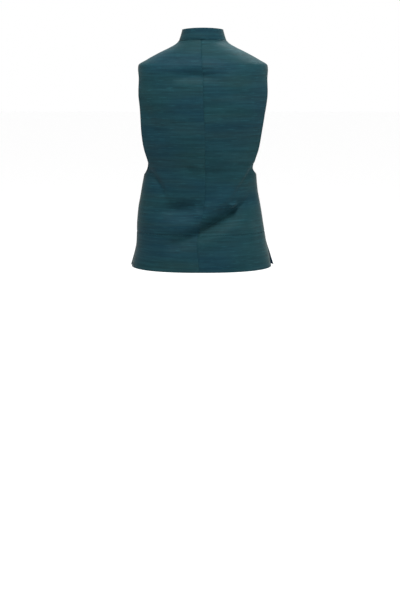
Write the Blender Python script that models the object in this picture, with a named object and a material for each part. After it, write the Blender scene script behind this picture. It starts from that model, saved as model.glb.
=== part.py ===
"""Nehru jacket: a sleeveless, buttoned jacket with a stand collar, in the hollow form that it is worn in.

Metres, +Z up. The front faces -Y, and left, as it is worn, is +X. The origin is the middle of the neck base.
Four cloth panels, a band collar and five buttons, each its own solid, with a fine gap at every seam.
"""

import math

import bmesh
import bpy
from mathutils import Vector

# Cloth and seams
WALL = 0.0024  # face cloth, interlining and turnings as one wall
COLLAR_WALL = 0.003
SEAM_GAP = 0.0003

# Heights, measured along the side line
NECK = 0.006
SHOULDER_TIP = -0.063
UNDERARM = -0.376
VENT_TOP = -0.560
HEM = -0.645

# Front closing
OVERLAP = 0.018  # how far each front runs past the centre line
LAP_GAP = 0.0009  # between the two layers of the lap
LAP_MARGIN = 0.004  # the under front lies at its full depth this far beyond the upper one's edge
STEP_RUN = 0.022  # width of the stretch in which the under front sinks beneath the other
BUTTON_COUNT = 5
BUTTON_RADIUS = 0.0075
BUTTON_THICKNESS = 0.0036
BUTTON_FACE_SHARE = 0.88  # the face's radius as a share of the rim's
BUTTON_GAP = 0.00036
BUTTON_FIRST = -0.098  # height of the top button's centre
BUTTON_SPACING = 0.092

# Side vents: how wide the slit opens at the hem, how far the front stands out beyond the back there on the left (1)
# and right (-1), how far round the front that reaches, and how quickly both grow from the top of the vent
VENT_OPEN = 0.008
VENT_FLARE = {1: 0.0035, -1: 0.0085}
FLARE_REACH = 0.03
SLIT_GROWTH = 1.5
FLARE_GROWTH = 1.4

# Collar
STAND_RISE = 0.031
COLLAR_FRONT_RISE = 0.032
COLLAR_LEAN_SIDE = 0.0095
COLLAR_LEAN_BACK = 0.004
COLLAR_LEAN_FRONT = 0.010
COLLAR_FRONT_GAP = 0.007  # between the two rounded ends at the centre front
COLLAR_CORNER = 0.020
CORNER_SHARE = 0.98  # how much of the quarter round is cut, so that the end keeps a short upright edge
COLLAR_CURVE = 0.25  # how much of the lean comes early, near the seam
COLLAR_BUNCHING = 0.035  # draws the columns towards the tight bends at the front ends and the back

# Mesh densities
PANEL_COLUMNS = 16
PANEL_ROWS = 50
COLLAR_COLUMNS = 56
COLLAR_ROWS = 4
BUTTON_SIDES = 20
PATH_STEPS = 14
RING_STEPS = 90
NECK_STEPS = 400
HEIGHT_STEPS = 600
ARMHOLE_WEIGHT = 0.6  # how much the turning of the armhole's edge draws the rows together

# A row for each horizontal section, from the hem up to the neck. height is taken at the side. The section is a
# rounded ring: half_width, back and front give its reach from the origin, squareness its exponent, and rise and drop
# tilt it up at the back and down at the front. sway moves it sideways, and seam is where the centre back seam lies.
DROP_EXPONENT = 1.35
SECTION_COLUMNS = ("height", "half_width", "back", "front", "rise", "drop", "squareness", "sway", "seam")
SECTIONS = [
    (-0.645, 0.2065, 0.140, 0.142, 0.000, 0.000, 2.30, 0.0015, 0.008),
    (-0.610, 0.1990, 0.135, 0.139, 0.000, 0.000, 2.30, 0.0008, 0.011),
    (-0.580, 0.1925, 0.129, 0.136, 0.000, 0.000, 2.30, 0.0015, 0.014),
    (-0.560, 0.1900, 0.124, 0.135, 0.000, 0.000, 2.30, 0.0025, 0.015),
    (-0.510, 0.1850, 0.113, 0.132, 0.000, 0.000, 2.30, 0.0060, 0.003),
    (-0.467, 0.1790, 0.104, 0.131, 0.000, 0.000, 2.30, 0.0070, -0.004),
    (-0.427, 0.1715, 0.101, 0.132, 0.000, 0.000, 2.32, 0.0070, -0.008),
    (-0.376, 0.1640, 0.104, 0.135, 0.000, 0.000, 2.35, 0.0050, -0.010),
    (-0.362, 0.1625, 0.105, 0.136, 0.000, 0.000, 2.37, 0.0045, -0.009),
    (-0.348, 0.1655, 0.107, 0.137, 0.000, 0.000, 2.40, 0.0035, -0.008),
    (-0.330, 0.1750, 0.109, 0.138, 0.000, 0.000, 2.40, 0.0025, -0.008),
    (-0.300, 0.1860, 0.114, 0.140, 0.000, 0.000, 2.40, 0.0020, -0.008),
    (-0.270, 0.1910, 0.118, 0.140, 0.000, 0.000, 2.40, 0.0020, -0.008),
    (-0.215, 0.1950, 0.122, 0.138, 0.000, 0.000, 2.40, 0.0000, -0.006),
    (-0.155, 0.1990, 0.120, 0.130, 0.000, 0.004, 2.40, -0.0020, -0.003),
    (-0.100, 0.1905, 0.113, 0.118, 0.000, 0.016, 2.35, -0.0030, -0.002),
    (-0.063, 0.1855, 0.100, 0.106, 0.000, 0.032, 2.30, -0.0030, 0.000),
    (-0.048, 0.1630, 0.093, 0.101, 0.001, 0.039, 2.26, -0.0030, 0.001),
    (-0.029, 0.1280, 0.082, 0.093, 0.004, 0.048, 2.20, -0.0030, 0.002),
    (-0.012, 0.0935, 0.071, 0.086, 0.006, 0.055, 2.14, -0.0025, 0.002),
    (-0.003, 0.0775, 0.064, 0.082, 0.006, 0.059, 2.10, -0.0020, 0.002),
    (0.006, 0.0675, 0.060, 0.078, 0.004, 0.062, 2.10, -0.0020, 0.002),
]

# The armhole in the side view: how far its back and front edges stand from the side line at each height.
ARMHOLE_COLUMNS = ("height", "back_edge", "front_edge")
ARMHOLE = [
    (-0.376, 0.000, 0.000),
    (-0.373, 0.019, 0.019),
    (-0.362, 0.041, 0.043),
    (-0.348, 0.055, 0.058),
    (-0.330, 0.062, 0.068),
    (-0.300, 0.065, 0.077),
    (-0.270, 0.066, 0.079),
    (-0.215, 0.064, 0.074),
    (-0.155, 0.058, 0.061),
    (-0.100, 0.040, 0.041),
    (-0.074, 0.019, 0.019),
    (-0.063, 0.000, 0.000),
]

# The largest folds: a soft trough (negative depth) or ridge along a curve through three places on the back or front.
# above and below are its soft widths on the upper and the lower side of the curve.
FOLD_END = 0.06  # share of the curve, at each end, in which the fold has faded out
FOLD_FADE = 0.5
FOLD_COLUMNS = ("face", "x1", "z1", "x2", "z2", "x3", "z3", "above", "below", "depth")
FOLDS = [
    ("back", -0.136, -0.440, -0.034, -0.506, 0.080, -0.563, 0.0150, 0.024, -0.0160),
    ("back", -0.136, -0.350, -0.086, -0.424, 0.006, -0.484, 0.024, 0.013, 0.0085),
    ("back", 0.152, -0.362, 0.128, -0.393, 0.108, -0.436, 0.011, 0.013, -0.0072),
    ("back", 0.100, -0.466, 0.068, -0.468, 0.014, -0.459, 0.016, 0.018, -0.0142),
    ("back", 0.150, -0.506, 0.086, -0.516, 0.014, -0.508, 0.024, 0.022, 0.0088),
    ("back", -0.140, -0.486, -0.084, -0.526, -0.020, -0.560, 0.014, 0.022, 0.0055),
    ("back", 0.048, -0.352, 0.028, -0.361, 0.006, -0.362, 0.013, 0.020, -0.0066),
    ("back", -0.016, -0.360, -0.038, -0.361, -0.066, -0.354, 0.013, 0.020, -0.0060),
    ("back", 0.134, -0.082, 0.050, -0.065, -0.060, -0.068, 0.013, 0.012, 0.0042),
    ("back", 0.092, -0.100, 0.020, -0.090, -0.052, -0.098, 0.013, 0.018, -0.0062),
    ("back", 0.168, -0.150, 0.158, -0.196, 0.118, -0.262, 0.018, 0.022, -0.0042),
    ("back", -0.030, -0.262, -0.062, -0.270, -0.100, -0.262, 0.018, 0.022, -0.0032),
    ("back", -0.132, -0.496, -0.143, -0.530, -0.147, -0.565, 0.012, 0.012, 0.0032),
    ("front", 0.150, -0.372, 0.098, -0.428, 0.040, -0.452, 0.013, 0.018, -0.0070),
    ("front", 0.146, -0.408, 0.092, -0.464, 0.044, -0.488, 0.017, 0.018, 0.0055),
    ("front", -0.148, -0.366, -0.104, -0.432, -0.052, -0.470, 0.013, 0.017, -0.0075),
    ("front", -0.142, -0.402, -0.090, -0.468, -0.048, -0.502, 0.016, 0.020, 0.0052),
    ("front", 0.128, -0.482, 0.074, -0.508, 0.030, -0.504, 0.014, 0.018, -0.0052),
    ("front", -0.138, -0.504, -0.084, -0.524, -0.036, -0.518, 0.014, 0.017, -0.0054),
    ("front", 0.140, -0.128, 0.112, -0.196, 0.104, -0.262, 0.018, 0.018, -0.0040),
    ("front", -0.138, -0.120, -0.108, -0.186, -0.100, -0.238, 0.017, 0.017, -0.0045),
    ("front", 0.112, -0.540, 0.120, -0.586, 0.118, -0.640, 0.018, 0.018, 0.0038),
    ("front", -0.118, -0.548, -0.122, -0.592, -0.116, -0.640, 0.017, 0.017, 0.0034),
]

FACE_CLOTH = ("Teal slubbed silk", (0.016, 0.049, 0.062, 1.0), 0.62)
BUTTON_HORN = ("Dark horn", (0.012, 0.014, 0.016, 1.0), 0.35)


def clear_scene():
    """Removes what the file opened with."""
    for thing in list(bpy.data.objects):
        bpy.data.objects.remove(thing, do_unlink=True)


def cloth_material(finish):
    """A plain coloured finish from a (name, colour, roughness) row."""
    name, colour, roughness = finish
    material = bpy.data.materials.new(name)
    material.use_nodes = True
    shader = material.node_tree.nodes["Principled BSDF"]
    shader.inputs["Base Color"].default_value = colour
    shader.inputs["Roughness"].default_value = roughness
    shader.inputs["Metallic"].default_value = 0.0
    return material


def smooth_rows(columns, rows):
    """Functions of height, one for each column, that pass smoothly through the rows without overshooting."""
    heights = [row[0] for row in rows]
    spans = [b - a for a, b in zip(heights, heights[1:])]

    def through(values):
        slopes = [(b - a) / span for a, b, span in zip(values, values[1:], spans)]
        tangents = [slopes[0]]
        for before, after in zip(slopes, slopes[1:]):
            level = before * after <= 0
            tangents.append(0.0 if level else 2 * before * after / (before + after))
        tangents.append(slopes[-1])

        def at(height):
            height = min(max(height, heights[0]), heights[-1])
            i = min(sum(1 for h in heights[1:] if h <= height), len(spans) - 1)
            t = (height - heights[i]) / spans[i]
            rise = spans[i] * (t * (1 - t) ** 2 * tangents[i] - t * t * (1 - t) * tangents[i + 1])
            return values[i] + (values[i + 1] - values[i]) * t * t * (3 - 2 * t) + rise

        return at

    return {name: through([row[k] for row in rows]) for k, name in enumerate(columns)}


SECTION = smooth_rows(SECTION_COLUMNS, SECTIONS)
ARM = smooth_rows(ARMHOLE_COLUMNS, ARMHOLE)


def power(value, exponent):
    """A power that keeps its sign, for rounded rings."""
    return math.copysign(abs(value) ** exponent, value)


def ring_point(height, angle, side):
    """A point of the section at this height. The angle runs from 0 at the centre back to pi at the centre front."""
    exponent = 2 / SECTION["squareness"](height)
    across = SECTION["half_width"](height) * power(math.sin(angle), exponent)
    facing = math.cos(angle)
    reach = SECTION["back"](height) if facing > 0 else SECTION["front"](height)
    tilt = SECTION["rise"](height) * facing**2 if facing > 0 else -SECTION["drop"](height) * abs(facing) ** DROP_EXPONENT
    return Vector((side * across + SECTION["sway"](height), reach * power(facing, exponent), height + tilt))


def angle_at_depth(height, depth, facing):
    """The angle at which the ring stands this far behind (facing 1) or before (facing -1) the side line."""
    reach = SECTION["back"](height) if facing > 0 else SECTION["front"](height)
    turn = (depth / reach) ** (SECTION["squareness"](height) / 2)
    return math.acos(facing * turn)


def angle_at_width(height, across):
    """The angle, near the centre back, at which the ring lies this far to its own side."""
    return math.asin(power(across / SECTION["half_width"](height), SECTION["squareness"](height) / 2))


def side_depth(height, facing):
    """How far a panel's outer edge stays from the side line: the armhole, the closed seam or the vent."""
    if height >= UNDERARM:
        return ARM["back_edge" if facing > 0 else "front_edge"](height)
    if height >= VENT_TOP:
        return 0.0
    return VENT_OPEN / 2 * ((VENT_TOP - height) / (VENT_TOP - HEM)) ** SLIT_GROWTH


def row_heights(count):
    """Heights of the rows, closer together where the shoulder or the armhole's edge turns quickly."""
    steps = HEIGHT_STEPS
    heights = [HEM + (NECK - HEM) * i / steps for i in range(steps + 1)]
    lengths = [0.0]
    for low, high in zip(heights, heights[1:]):
        widening = SECTION["half_width"](high) - SECTION["half_width"](low)
        turning = side_depth(high, 1) - side_depth(low, 1)
        lengths.append(lengths[-1] + math.hypot(high - low, widening, ARMHOLE_WEIGHT * turning))
    rows = []
    for k in range(count + 1):
        target = lengths[-1] * k / count
        i = min(sum(1 for length in lengths[1:] if length < target), steps - 1)
        part = (target - lengths[i]) / (lengths[i + 1] - lengths[i])
        rows.append(heights[i] + (heights[i + 1] - heights[i]) * part)
    for corner in (VENT_TOP, UNDERARM, SHOULDER_TIP):
        nearest = min(range(count + 1), key=lambda k: abs(rows[k] - corner))
        rows[nearest] = corner
    return rows


def fold_paths():
    """Each fold with the points of the curve that it follows."""
    paths = []
    for row in FOLDS:
        fold = dict(zip(FOLD_COLUMNS, row))
        middle_x = 2 * fold["x2"] - (fold["x1"] + fold["x3"]) / 2
        middle_z = 2 * fold["z2"] - (fold["z1"] + fold["z3"]) / 2
        points = []
        for i in range(PATH_STEPS + 1):
            t = i / PATH_STEPS
            weights = ((1 - t) ** 2, 2 * t * (1 - t), t * t)
            x = weights[0] * fold["x1"] + weights[1] * middle_x + weights[2] * fold["x3"]
            z = weights[0] * fold["z1"] + weights[1] * middle_z + weights[2] * fold["z3"]
            inner = min(max(t, FOLD_END), 1 - FOLD_END)
            points.append((x, z, math.sin(math.pi * inner) ** FOLD_FADE))
        paths.append((fold, points))
    return paths


PATHS = fold_paths()


def fold_relief(face, x, z):
    """How far the folds lift or sink the cloth at this place."""
    relief = 0.0
    for fold, points in PATHS:
        if fold["face"] != face:
            continue
        best = 0.0
        for (x1, z1, fade1), (x2, z2, fade2) in zip(points, points[1:]):
            length = (x2 - x1) ** 2 + (z2 - z1) ** 2
            t = min(max(((x - x1) * (x2 - x1) + (z - z1) * (z2 - z1)) / length, 0.0), 1.0)
            away_x, away_z = x - x1 - t * (x2 - x1), z - z1 - t * (z2 - z1)
            away = math.hypot(away_x, away_z) + 1e-9
            up = 0.5 + 0.5 * away_z / away
            up = up * up * (3 - 2 * up)
            width = fold["below"] + (fold["above"] - fold["below"]) * up
            best = max(best, math.exp(-((away / width) ** 2)) * (fade1 + t * (fade2 - fade1)))
        relief += fold["depth"] * best
    return relief


def outward(height, angle, side):
    """The direction that faces out of the cloth at a point of the ring."""
    small = 0.002
    along = ring_point(height, angle + small, side) - ring_point(height, angle - small, side)
    low, high = max(height - small, HEM), min(height + small, NECK)
    up = ring_point(high, angle, side) - ring_point(low, angle, side)
    normal = up.cross(along) * side
    return normal.normalized()


def panel_row(height, start, end, side, columns):
    """Angles at even distances along a ring, half a seam gap in from both ends."""
    steps = RING_STEPS
    angles = [start + (end - start) * i / steps for i in range(steps + 1)]
    points = [ring_point(height, angle, side) for angle in angles]
    lengths = [0.0]
    for a, b in zip(points, points[1:]):
        lengths.append(lengths[-1] + (b - a).length)
    first, last = SEAM_GAP / 2, lengths[-1] - SEAM_GAP / 2
    found = []
    for k in range(columns + 1):
        target = first + (last - first) * k / columns
        i = min(sum(1 for length in lengths[1:] if length < target), steps - 1)
        part = (target - lengths[i]) / (lengths[i + 1] - lengths[i])
        found.append(angles[i] + (angles[i + 1] - angles[i]) * part)
    return found


def closed_slab(columns, rows):
    """A flat closed slab of columns by rows cells. X and Y run 0 to 1 and Z is 0 outside, -1 inside."""
    bm = bmesh.new()
    bmesh.ops.create_grid(bm, x_segments=columns, y_segments=rows, size=0.5)
    bmesh.ops.translate(bm, verts=bm.verts, vec=(0.5, 0.5, 0.0))
    bmesh.ops.solidify(bm, geom=bm.faces[:], thickness=1.0)
    lowest = min(vert.co.z for vert in bm.verts)
    bmesh.ops.translate(bm, verts=bm.verts, vec=(0.0, 0.0, -1.0 - lowest))
    return bm


def finish_mesh(bm, name, material, collection):
    """Makes the mesh an object of its own, with its faces pointing out."""
    bmesh.ops.recalc_face_normals(bm, faces=bm.faces[:])
    if bm.calc_volume(signed=True) < 0:
        bmesh.ops.reverse_faces(bm, faces=bm.faces[:])
    mesh = bpy.data.meshes.new(name)
    bm.to_mesh(mesh)
    bm.free()
    mesh.materials.append(material)
    mesh.shade_smooth()
    mesh.set_sharp_from_angle(angle=math.radians(50))
    made = bpy.data.objects.new(name, mesh)
    collection.objects.link(made)
    return made


def front_step(x, side):
    """How deep the under front lies beneath the other near the centre line."""
    if side > 0:
        return 0.0
    inner_edge = -OVERLAP - LAP_MARGIN
    t = min(max((x - (inner_edge - STEP_RUN)) / STEP_RUN, 0.0), 1.0)
    return (WALL + LAP_GAP) * t * t * (3 - 2 * t)


def surface(face, side, height, angle):
    """A point on the outside of a panel, and the way out of the cloth there."""
    point = ring_point(height, angle, side)
    normal = outward(height, angle, side)
    lift = fold_relief(face, point.x, point.z)
    if face == "front":
        lift -= front_step(point.x, side)
        if height < VENT_TOP:
            opened = ((VENT_TOP - height) / (VENT_TOP - HEM)) ** FLARE_GROWTH
            lift += VENT_FLARE[side] * opened * math.exp(-((point.y / FLARE_REACH) ** 2))
    return point + normal * lift, normal


def panel(name, face, side, material, collection):
    """A back or front: a slab bent round its sections, with its centre, side, armhole and shoulder edges."""
    heights = row_heights(PANEL_ROWS)
    heights[-1] -= SEAM_GAP / 2
    rows = []
    for height in heights:
        facing = 1 if face == "back" else -1
        edge = angle_at_depth(height, side_depth(height, facing), facing)
        if face == "back":
            start = angle_at_width(height, side * SECTION["seam"](height) - side * SECTION["sway"](height))
            rows.append(panel_row(height, start, edge, side, PANEL_COLUMNS))
        else:
            past = side * SECTION["sway"](height) + OVERLAP
            end = math.pi + angle_at_width(height, past)
            rows.append(panel_row(height, edge, end, side, PANEL_COLUMNS))
    bm = closed_slab(PANEL_COLUMNS, PANEL_ROWS)
    for vert in bm.verts:
        column, row = round(vert.co.x * PANEL_COLUMNS), round(vert.co.y * PANEL_ROWS)
        point, normal = surface(face, side, heights[row], rows[row][column])
        vert.co = point + normal * WALL * vert.co.z
    return finish_mesh(bm, name, material, collection)


def collar_point(angle, rise):
    """A point on the outside of the band. The angle runs from -pi to pi, with 0 at the centre back."""
    side = math.copysign(1.0, angle)
    base = ring_point(NECK, abs(angle), side)
    facing = math.cos(angle)
    lean_end = COLLAR_LEAN_BACK if facing > 0 else COLLAR_LEAN_FRONT
    lean = COLLAR_LEAN_SIDE + (lean_end - COLLAR_LEAN_SIDE) * facing**2
    full = STAND_RISE if facing > 0 else STAND_RISE + (COLLAR_FRONT_RISE - STAND_RISE) * facing**2
    inward = Vector((base.x - SECTION["sway"](NECK), base.y, 0.0)).normalized()
    curve = rise * (1 + COLLAR_CURVE * (1 - rise))
    return base + Vector((0, 0, full * rise)) - inward * lean * curve


def collar(material, collection):
    """The band: one wall from front end to front end, with its upper front corners rounded."""
    steps = NECK_STEPS
    angles = [-math.pi + 2 * math.pi * i / steps for i in range(steps + 1)]
    points = [collar_point(angle, 0.0) for angle in angles]
    lengths = [0.0]
    for a, b in zip(points, points[1:]):
        lengths.append(lengths[-1] + (b - a).length)
    first, last = COLLAR_FRONT_GAP / 2, lengths[-1] - COLLAR_FRONT_GAP / 2
    places = []
    for k in range(COLLAR_COLUMNS + 1):
        t = k / COLLAR_COLUMNS
        target = first + (last - first) * (t - COLLAR_BUNCHING * math.sin(4 * math.pi * t) / 2)
        i = min(sum(1 for length in lengths[1:] if length < target), steps - 1)
        part = (target - lengths[i]) / (lengths[i + 1] - lengths[i])
        from_end = min(target - first, last - target)
        short = max(COLLAR_CORNER - from_end, 0.0)
        lost = COLLAR_CORNER - math.sqrt(COLLAR_CORNER**2 - CORNER_SHARE * short**2)
        places.append((angles[i] + (angles[i + 1] - angles[i]) * part, 1 - lost / COLLAR_FRONT_RISE))
    bm = closed_slab(COLLAR_COLUMNS, COLLAR_ROWS)
    lift = Vector((0, 0, SEAM_GAP))
    for vert in bm.verts:
        angle, tall = places[round(vert.co.x * COLLAR_COLUMNS)]
        rise = tall * vert.co.y
        small = 0.01
        along = collar_point(angle + small, rise) - collar_point(angle - small, rise)
        up = collar_point(angle, min(rise + small, 1.0)) - collar_point(angle, max(rise - small, 0.0))
        normal = up.cross(along).normalized()
        level = Vector((normal.x, normal.y, normal.z * vert.co.y)).normalized()
        vert.co = collar_point(angle, rise) + lift + level * COLLAR_WALL * vert.co.z
    return finish_mesh(bm, "collar", material, collection)


def button(number, material, collection):
    """A round horn button, seated on the upper front over the centre line."""
    height = BUTTON_FIRST - BUTTON_SPACING * (number - 1)
    low, high = HEM, SHOULDER_TIP
    for _ in range(40):
        middle = (low + high) / 2
        spot, _ = surface("front", 1, middle, math.pi)
        low, high = (middle, high) if spot.z < height else (low, middle)
    spot, normal = surface("front", 1, low, math.pi + angle_at_width(low, SECTION["sway"](low)))
    bm = bmesh.new()
    bmesh.ops.create_cone(
        bm,
        cap_ends=True,
        segments=BUTTON_SIDES,
        radius1=BUTTON_RADIUS,
        radius2=BUTTON_RADIUS * BUTTON_FACE_SHARE,
        depth=BUTTON_THICKNESS,
    )
    seat = spot + normal * (BUTTON_GAP + BUTTON_THICKNESS / 2)
    turn = normal.to_track_quat("Z", "Y").to_matrix().to_4x4()
    bmesh.ops.transform(bm, matrix=turn, verts=bm.verts)
    bmesh.ops.translate(bm, verts=bm.verts, vec=seat)
    return finish_mesh(bm, f"button_{number}", material, collection)


def main():
    clear_scene()
    jacket = bpy.data.collections.new("Nehru jacket")
    bpy.context.scene.collection.children.link(jacket)
    cloth = cloth_material(FACE_CLOTH)
    horn = cloth_material(BUTTON_HORN)
    for face in ("back", "front"):
        panel(f"{face}_left", face, 1, cloth, jacket)
        panel(f"{face}_right", face, -1, cloth, jacket)
    collar(cloth, jacket)
    for number in range(1, BUTTON_COUNT + 1):
        button(number, horn, jacket)


main()
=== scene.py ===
"""Nehru jacket in slubbed raw silk, seen from behind in its worn form: the finish of every surface."""

import math

import bmesh
import bpy
import numpy as np
from mathutils import Matrix, Vector


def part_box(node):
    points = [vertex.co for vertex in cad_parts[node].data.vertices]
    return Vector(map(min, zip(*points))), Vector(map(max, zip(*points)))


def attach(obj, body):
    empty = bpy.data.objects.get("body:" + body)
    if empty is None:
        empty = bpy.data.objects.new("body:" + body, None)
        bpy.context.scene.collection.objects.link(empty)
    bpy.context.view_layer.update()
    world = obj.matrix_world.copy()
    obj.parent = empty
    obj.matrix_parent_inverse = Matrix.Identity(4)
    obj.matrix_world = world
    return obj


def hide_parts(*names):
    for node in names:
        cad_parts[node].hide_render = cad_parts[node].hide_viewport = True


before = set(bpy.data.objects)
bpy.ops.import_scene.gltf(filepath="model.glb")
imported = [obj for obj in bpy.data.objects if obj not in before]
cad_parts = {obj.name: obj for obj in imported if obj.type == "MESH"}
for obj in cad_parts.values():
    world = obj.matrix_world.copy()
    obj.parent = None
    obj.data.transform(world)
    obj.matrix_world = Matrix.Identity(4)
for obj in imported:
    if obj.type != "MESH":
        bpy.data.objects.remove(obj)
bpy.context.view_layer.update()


# The backs. Two panels of raw silk over interlining, joined by a centre back seam and cut with a curved
# armhole, a shoulder and a vented side edge. Each is one thin shell, with silk outside and over its edges and
# dark lining inside. Sizes are in metres, and heights are from the base of the neck.
MM = 0.001
WALL = 0.0024
NECK, SHOULDER_TIP, UNDERARM, VENT_TOP, HEM = 0.006, -0.063, -0.376, -0.560, -0.645
VENT_OPEN, SLIT_GROWTH = 0.008, 1.5  # how wide each vent is at the hem, and how quickly it opens
DROP_EXPONENT = 1.35  # how quickly the neck edge drops towards the front
HEM_LINE = -0.541  # where the deep hem is caught down
HEM_GROOVE, HEM_GROOVE_ABOVE, HEM_GROOVE_BELOW = 0.0011, 0.0012, 0.0030
SEAM_DITCH, SEAM_DITCH_WIDTH = 0.0011, 0.0019
CELL = 0.0032  # size of a panel's mesh cell
PANEL_COLUMNS = 72
ARMHOLE_WEIGHT = 0.6  # how much the turning of the armhole's edge draws the rows together
LINE_ROWS_MM = (-3.4, -2.2, -1.4, -0.7, 0.0, 0.7, 1.4, 2.2, 3.4)  # fine rows on either side of the hem line
LINE_CLEAR = 0.0048  # the even rows stay this far from the hem line
HEM_EDGE = 0.0012  # a fine row just above the hem
EDGE_STEPS = (0.0, 0.0008, 0.0018, 0.0032)  # fine columns along both edges of a panel
FINE_HEIGHTS, FINE_ACROSS = 4001, 161  # places at which lengths along the cloth are measured
SIDESTEP = 0.002  # step in height and in angle from which the way out of the cloth is found
PANEL_ROLL, ROLL_STEPS, ROLL_ANGLE = 0.0008, 2, math.radians(55)  # edges sharper than this angle are rolled

SECTION_COLUMNS = ("height", "half_width", "back", "front", "rise", "drop", "squareness", "sway", "seam")
SECTIONS = [
    (-0.645, 0.2065, 0.140, 0.142, 0.000, 0.000, 2.30, 0.0015, 0.008),
    (-0.610, 0.1990, 0.135, 0.139, 0.000, 0.000, 2.30, 0.0008, 0.011),
    (-0.580, 0.1925, 0.129, 0.136, 0.000, 0.000, 2.30, 0.0015, 0.014),
    (-0.560, 0.1900, 0.124, 0.135, 0.000, 0.000, 2.30, 0.0025, 0.015),
    (-0.510, 0.1850, 0.113, 0.132, 0.000, 0.000, 2.30, 0.0060, 0.003),
    (-0.467, 0.1790, 0.104, 0.131, 0.000, 0.000, 2.30, 0.0070, -0.004),
    (-0.427, 0.1715, 0.101, 0.132, 0.000, 0.000, 2.32, 0.0070, -0.008),
    (-0.376, 0.1640, 0.104, 0.135, 0.000, 0.000, 2.35, 0.0050, -0.010),
    (-0.362, 0.1625, 0.105, 0.136, 0.000, 0.000, 2.37, 0.0045, -0.009),
    (-0.348, 0.1655, 0.107, 0.137, 0.000, 0.000, 2.40, 0.0035, -0.008),
    (-0.330, 0.1750, 0.109, 0.138, 0.000, 0.000, 2.40, 0.0025, -0.008),
    (-0.300, 0.1860, 0.114, 0.140, 0.000, 0.000, 2.40, 0.0020, -0.008),
    (-0.270, 0.1910, 0.118, 0.140, 0.000, 0.000, 2.40, 0.0020, -0.008),
    (-0.215, 0.1950, 0.122, 0.138, 0.000, 0.000, 2.40, 0.0000, -0.006),
    (-0.155, 0.1990, 0.120, 0.130, 0.000, 0.004, 2.40, -0.0020, -0.003),
    (-0.100, 0.1905, 0.113, 0.118, 0.000, 0.016, 2.35, -0.0030, -0.002),
    (-0.063, 0.1855, 0.100, 0.106, 0.000, 0.032, 2.30, -0.0030, 0.000),
    (-0.048, 0.1630, 0.093, 0.101, 0.001, 0.039, 2.26, -0.0030, 0.001),
    (-0.029, 0.1280, 0.082, 0.093, 0.004, 0.048, 2.20, -0.0030, 0.002),
    (-0.012, 0.0935, 0.071, 0.086, 0.006, 0.055, 2.14, -0.0025, 0.002),
    (-0.003, 0.0775, 0.064, 0.082, 0.006, 0.059, 2.10, -0.0020, 0.002),
    (0.006, 0.0675, 0.060, 0.078, 0.004, 0.062, 2.10, -0.0020, 0.002),
]
ARMHOLE_COLUMNS = ("height", "back_edge", "front_edge")
ARMHOLE = [
    (-0.376, 0.000, 0.000),
    (-0.373, 0.019, 0.019),
    (-0.362, 0.041, 0.043),
    (-0.348, 0.055, 0.058),
    (-0.330, 0.062, 0.068),
    (-0.300, 0.065, 0.077),
    (-0.270, 0.066, 0.079),
    (-0.215, 0.064, 0.074),
    (-0.155, 0.058, 0.061),
    (-0.100, 0.040, 0.041),
    (-0.074, 0.019, 0.019),
    (-0.063, 0.000, 0.000),
]

# Folds and finer creases, each along a curve through three places. It is a trough where its depth is negative
# and a ridge elsewhere. above and below are its soft widths on its upper and lower side.
FOLD_END, FOLD_FADE = 0.06, 0.5  # share of the curve at which each end stops fading, and how gently it fades
FOLD_PLACES = 17  # places along each curve
FOLD_COLUMNS = ("face", "x1", "z1", "x2", "z2", "x3", "z3", "above", "below", "depth")
FOLDS = [
    ("back", -0.136, -0.440, -0.034, -0.506, 0.080, -0.563, 0.0150, 0.024, -0.0160),
    ("back", -0.136, -0.350, -0.086, -0.424, 0.006, -0.484, 0.024, 0.013, 0.0085),
    ("back", 0.152, -0.362, 0.128, -0.393, 0.108, -0.436, 0.011, 0.013, -0.0072),
    ("back", 0.100, -0.466, 0.068, -0.468, 0.014, -0.459, 0.016, 0.018, -0.0142),
    ("back", 0.150, -0.506, 0.086, -0.516, 0.014, -0.508, 0.024, 0.022, 0.0088),
    ("back", -0.140, -0.486, -0.084, -0.526, -0.020, -0.560, 0.014, 0.022, 0.0055),
    ("back", 0.048, -0.352, 0.028, -0.361, 0.006, -0.362, 0.013, 0.020, -0.0066),
    ("back", -0.016, -0.360, -0.038, -0.361, -0.066, -0.354, 0.013, 0.020, -0.0060),
    ("back", 0.134, -0.082, 0.050, -0.065, -0.060, -0.068, 0.013, 0.012, 0.0042),
    ("back", 0.092, -0.100, 0.020, -0.090, -0.052, -0.098, 0.013, 0.018, -0.0062),
    ("back", 0.168, -0.150, 0.158, -0.196, 0.118, -0.262, 0.018, 0.022, -0.0042),
    ("back", -0.030, -0.262, -0.062, -0.270, -0.100, -0.262, 0.018, 0.022, -0.0032),
    ("back", -0.132, -0.496, -0.143, -0.530, -0.147, -0.565, 0.012, 0.012, 0.0032),
    ("front", 0.150, -0.372, 0.098, -0.428, 0.040, -0.452, 0.013, 0.018, -0.0070),
    ("front", 0.146, -0.408, 0.092, -0.464, 0.044, -0.488, 0.017, 0.018, 0.0055),
    ("front", -0.148, -0.366, -0.104, -0.432, -0.052, -0.470, 0.013, 0.017, -0.0075),
    ("front", -0.142, -0.402, -0.090, -0.468, -0.048, -0.502, 0.016, 0.020, 0.0052),
    ("front", 0.128, -0.482, 0.074, -0.508, 0.030, -0.504, 0.014, 0.018, -0.0052),
    ("front", -0.138, -0.504, -0.084, -0.524, -0.036, -0.518, 0.014, 0.017, -0.0054),
    ("front", 0.140, -0.128, 0.112, -0.196, 0.104, -0.262, 0.018, 0.018, -0.0040),
    ("front", -0.138, -0.120, -0.108, -0.186, -0.100, -0.238, 0.017, 0.017, -0.0045),
    ("front", 0.112, -0.540, 0.120, -0.586, 0.118, -0.640, 0.018, 0.018, 0.0038),
    ("front", -0.118, -0.548, -0.122, -0.592, -0.116, -0.640, 0.017, 0.017, 0.0034),
]
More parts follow.
